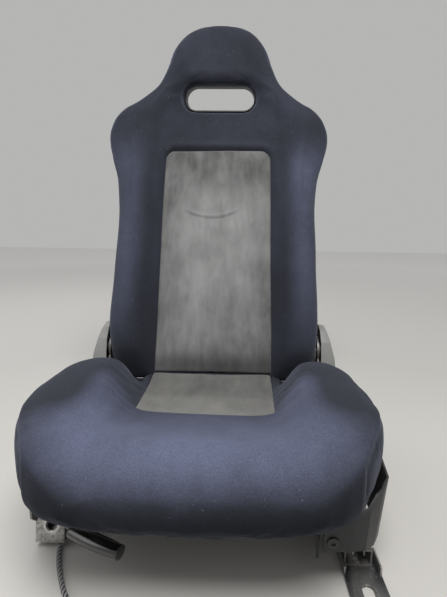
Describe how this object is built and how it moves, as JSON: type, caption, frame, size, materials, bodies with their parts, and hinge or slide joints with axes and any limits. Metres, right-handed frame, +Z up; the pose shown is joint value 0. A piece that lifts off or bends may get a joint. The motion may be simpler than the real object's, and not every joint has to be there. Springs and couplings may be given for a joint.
{
  "type": "reclining sports seat",
  "caption": "Reclining sports seat with deep thigh and side bolsters, a slotted integral headrest, a suede centre panel and slide rails on floor feet.",
  "frame": {"origin": "middle of the bounding box seen from above, on the plane of the floor feet", "axes": "+Z up along the height, +X across the seat to the right as seen by someone facing it, -Y the way the sitter faces"},
  "size_m": [0.5634, 0.8419, 0.9743],
  "materials": {
    "painted_steel": "satin",
    "worn_zinc": "worn",
    "spring_steel": "satin",
    "plated_fastener": "satin",
    "nylon": "matte",
    "shield_plastic": "textured",
    "cover_plastic": "textured",
    "shell_plastic": "textured",
    "grip_plastic": "gloss",
    "cover_fabric": "soft knit",
    "insert_suede": "brushed suede",
    "braid": "braided sleeve",
    "lead_rubber": "matte"
  },
  "bodies": {
    "floor_rails": {"right_lower_rail": "painted_steel", "left_lower_rail": "painted_steel", "right_front_foot": "worn_zinc", "left_front_foot": "worn_zinc", "right_rear_foot": "painted_steel", "left_rear_foot": "painted_steel", "foot_rivets": "plated_fastener", "harness_lead": "braid", "lead_gland": "lead_rubber", "lead_clip": "painted_steel", "lead_plug": "nylon"},
    "rollers": {"rail_rollers": "plated_fastener", "roller_cages": "nylon"},
    "seat_base": {"right_upper_rail": "painted_steel", "left_upper_rail": "painted_steel", "slider_shoes": "nylon", "right_side_frame": "painted_steel", "left_side_frame": "painted_steel", "rail_bolts": "plated_fastener", "front_cross_tube": "painted_steel", "rear_cross_tube": "painted_steel", "seat_pan": "painted_steel", "cushion_springs": "spring_steel", "right_recliner_base": "painted_steel", "left_recliner_base": "painted_steel", "pivot_pins": "plated_fastener", "return_springs": "spring_steel", "pawl_pins": "plated_fastener", "right_recliner_cover": "cover_plastic", "left_recliner_cover": "cover_plastic", "side_shield": "shield_plastic", "shield_screws": "painted_steel", "shield_bracket": "painted_steel", "retaining_hook": "spring_steel", "latch_hangers": "painted_steel", "right_latch_shaft": "plated_fastener", "cushion_pad": "cover_fabric", "cushion_insert": "insert_suede"},
    "backrest": {"right_recliner_arm": "painted_steel", "left_recliner_arm": "painted_steel", "arm_bolts": "plated_fastener", "back_pad": "cover_fabric", "back_insert": "insert_suede", "back_members": "painted_steel", "back_top_tube": "painted_steel", "back_cross": "painted_steel", "back_springs": "spring_steel", "head_bezel": "shell_plastic", "back_shell": "shell_plastic", "shell_screws": "plated_fastener"},
    "recline_release": {"release_shaft": "plated_fastener", "release_cams": "plated_fastener", "recline_lever": "painted_steel", "recline_grip": "grip_plastic"},
    "pawls": {"recliner_pawls": "plated_fastener"},
    "slide_lever": {"slide_rod": "painted_steel", "slide_grip": "grip_plastic", "left_latch": "painted_steel"},
    "latch_link": {"sync_link": "spring_steel"},
    "far_latch": {"right_latch": "painted_steel"}
  },
  "joints": [
    {"name": "seat_slide", "type": "slide", "parent": "floor_rails", "child": "seat_base", "axis": [0, 1, 0], "range_m": [-0.1, 0.1]},
    {"name": "roller_travel", "type": "slide", "parent": "floor_rails", "child": "rollers", "axis": [0, 1, 0], "range_m": [-0.05, 0.05]},
    {"name": "recline", "type": "hinge", "parent": "seat_base", "child": "backrest", "pos_m": [0, 0.15, 0.195], "axis": [1, 0, 0], "range_deg": [-60, 22]},
    {"name": "recline_lever", "type": "hinge", "parent": "seat_base", "child": "recline_release", "pos_m": [0, 0.118, 0.084], "axis": [-1, 0, 0], "range_deg": [0, 25], "stiffness_Nm_per_rad": 2, "springref_deg": -34.38},
    {"name": "pawl_swing", "type": "hinge", "parent": "seat_base", "child": "pawls", "pos_m": [0, 0.178, 0.138], "axis": [1, 0, 0], "range_deg": [0, 4.1]},
    {"name": "slide_lever", "type": "hinge", "parent": "seat_base", "child": "slide_lever", "pos_m": [-0.199, -0.08, 0.052], "axis": [0, -1, 0], "range_deg": [0, 13], "stiffness_Nm_per_rad": 2.5, "springref_deg": -20.05},
    {"name": "link_travel", "type": "slide", "parent": "seat_base", "child": "latch_link", "axis": [-1, 0, 0], "range_m": [0, 0.0047]},
    {"name": "far_latch_turn", "type": "hinge", "parent": "seat_base", "child": "far_latch", "pos_m": [0.199, -0.08, 0.052], "axis": [0, 1, 0], "range_deg": [0, 13.2]}
  ],
  "couplings": [
    {"joint": "roller_travel", "follows": "seat_slide", "ratio": 0.5},
    {"joint": "pawl_swing", "follows": "recline_lever", "ratio": 0.16},
    {"joint": "link_travel", "follows": "slide_lever", "m_per_rad": 0.02},
    {"joint": "far_latch_turn", "follows": "slide_lever", "ratio": 1}
  ]
}
